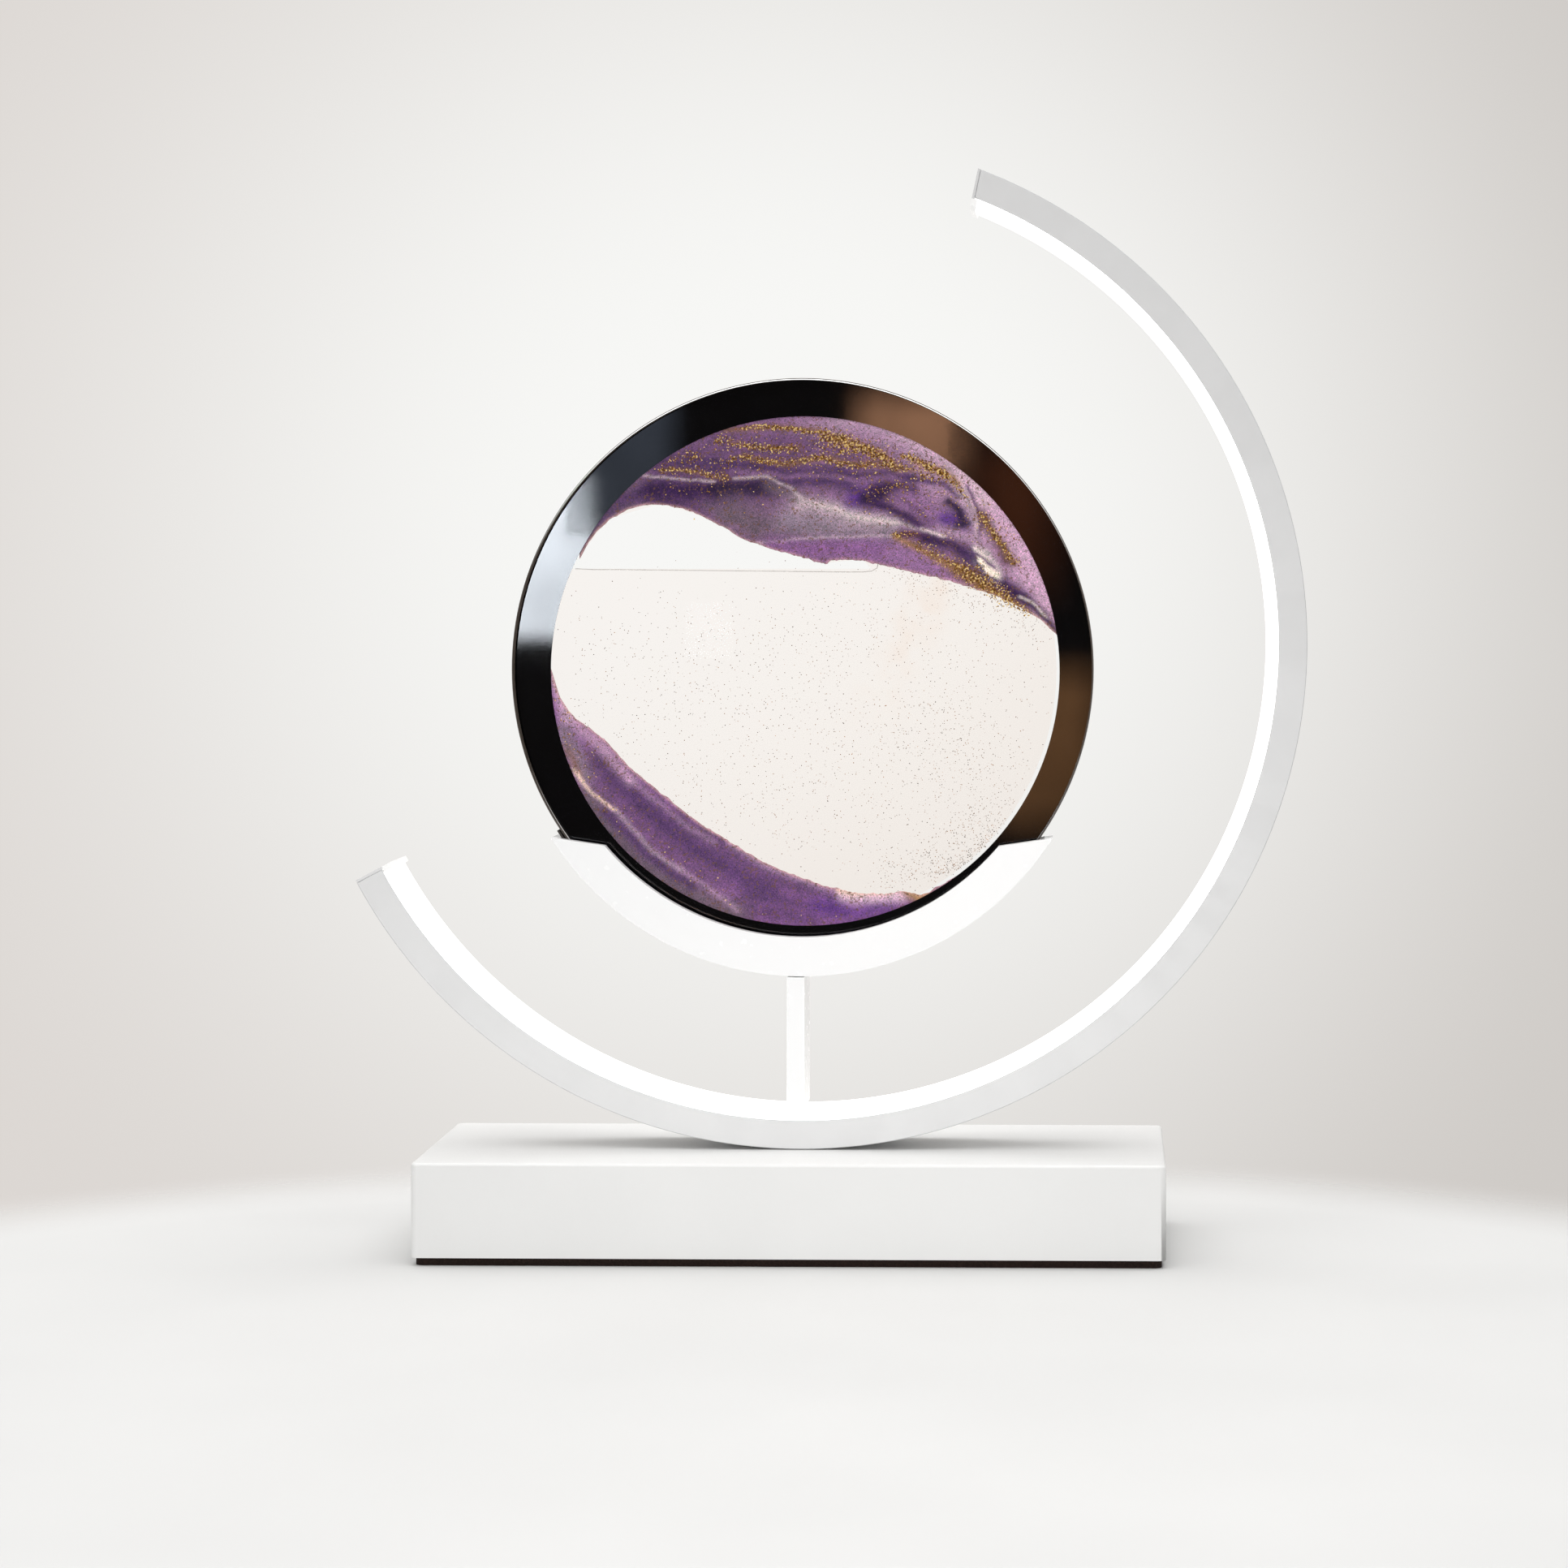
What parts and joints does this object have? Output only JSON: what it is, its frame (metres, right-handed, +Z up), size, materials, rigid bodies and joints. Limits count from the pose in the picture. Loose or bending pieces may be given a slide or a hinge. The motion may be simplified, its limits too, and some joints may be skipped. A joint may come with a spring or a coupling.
{
  "type": "table lamp",
  "caption": "Accent table lamp: a C-shaped light ring on a flat base, with a slim stem and a grooved cradle that holds a round glass disc of moving sand.",
  "frame": {"origin": "middle of the underside of the base pad, on the table", "axes": "+X to the lamp's right seen from the front, -Y to the front, +Z up; the disc and the ring turn about Y"},
  "size_m": [0.2937, 0.0814, 0.3333],
  "materials": {
    "white_paint": "satin powder coat",
    "white_coat": "satin coat on an extruded aluminium channel",
    "white_gloss": "smooth gloss white",
    "milky_diffuser": "milky diffuser",
    "white_strip": "white flexible strip and lead",
    "black_foam": "dense matt foam",
    "dark_plastic": "matt moulded",
    "steel": "zinc plated",
    "circuit_board": "green solder mask",
    "clear_glass": "polished clear",
    "black_mask": "gloss black print behind glass",
    "black_seal": "matt seal",
    "grey_liner": "matt foam strip",
    "purple_sand": "fine grains, violet with gold",
    "deep_purple_sand": "fine grains, deep violet",
    "clear_liquid": "clear liquid"
  },
  "bodies": {
    "base": {"base_shell": "white_paint", "ring_profile": "white_coat", "cradle": "white_gloss", "stem": "white_gloss", "ring_diffuser": "milky_diffuser", "ring_end_cap_top": "milky_diffuser", "ring_end_cap_left": "milky_diffuser", "led_strip": "white_strip", "led_lead": "white_strip", "base_pad": "black_foam", "bottom_cover": "dark_plastic", "power_inlet": "dark_plastic", "switch_body": "dark_plastic", "cover_screw_1": "steel", "cover_screw_2": "steel", "cover_screw_3": "steel", "cover_screw_4": "steel", "ballast_left": "steel", "ballast_right": "steel", "board_screw_1": "steel", "board_screw_2": "steel", "ring_screw_1": "steel", "ring_screw_2": "steel", "stem_nut_front": "steel", "stem_nut_rear": "steel", "ring_nut_1": "steel", "ring_nut_2": "steel", "tie_rod_front": "steel", "tie_rod_rear": "steel", "driver_board": "circuit_board", "groove_liner": "grey_liner"},
    "fluid": {"liquid": "clear_liquid"},
    "disc": {"front_glass": "clear_glass", "rear_glass": "clear_glass", "front_mask": "black_mask", "rear_mask": "black_mask", "rim_seal": "black_seal", "fill_plug": "black_seal", "sand_upper": "purple_sand", "sand_lower": "deep_purple_sand"},
    "button": {"switch_button": "white_gloss"}
  },
  "joints": [
    {"name": "disc_lift", "type": "slide", "parent": "base", "child": "fluid", "axis": [0, 0, 1], "range_m": [0, 0.055]},
    {"name": "disc_turn", "type": "hinge", "parent": "fluid", "child": "disc", "pos_m": [0.0017, 0, 0.1791], "axis": [0, 1, 0], "continuous": true},
    {"name": "button_press", "type": "slide", "parent": "base", "child": "button", "axis": [0, -1, 0], "range_m": [0, 0.0012], "stiffness_N_per_m": 800}
  ]
}
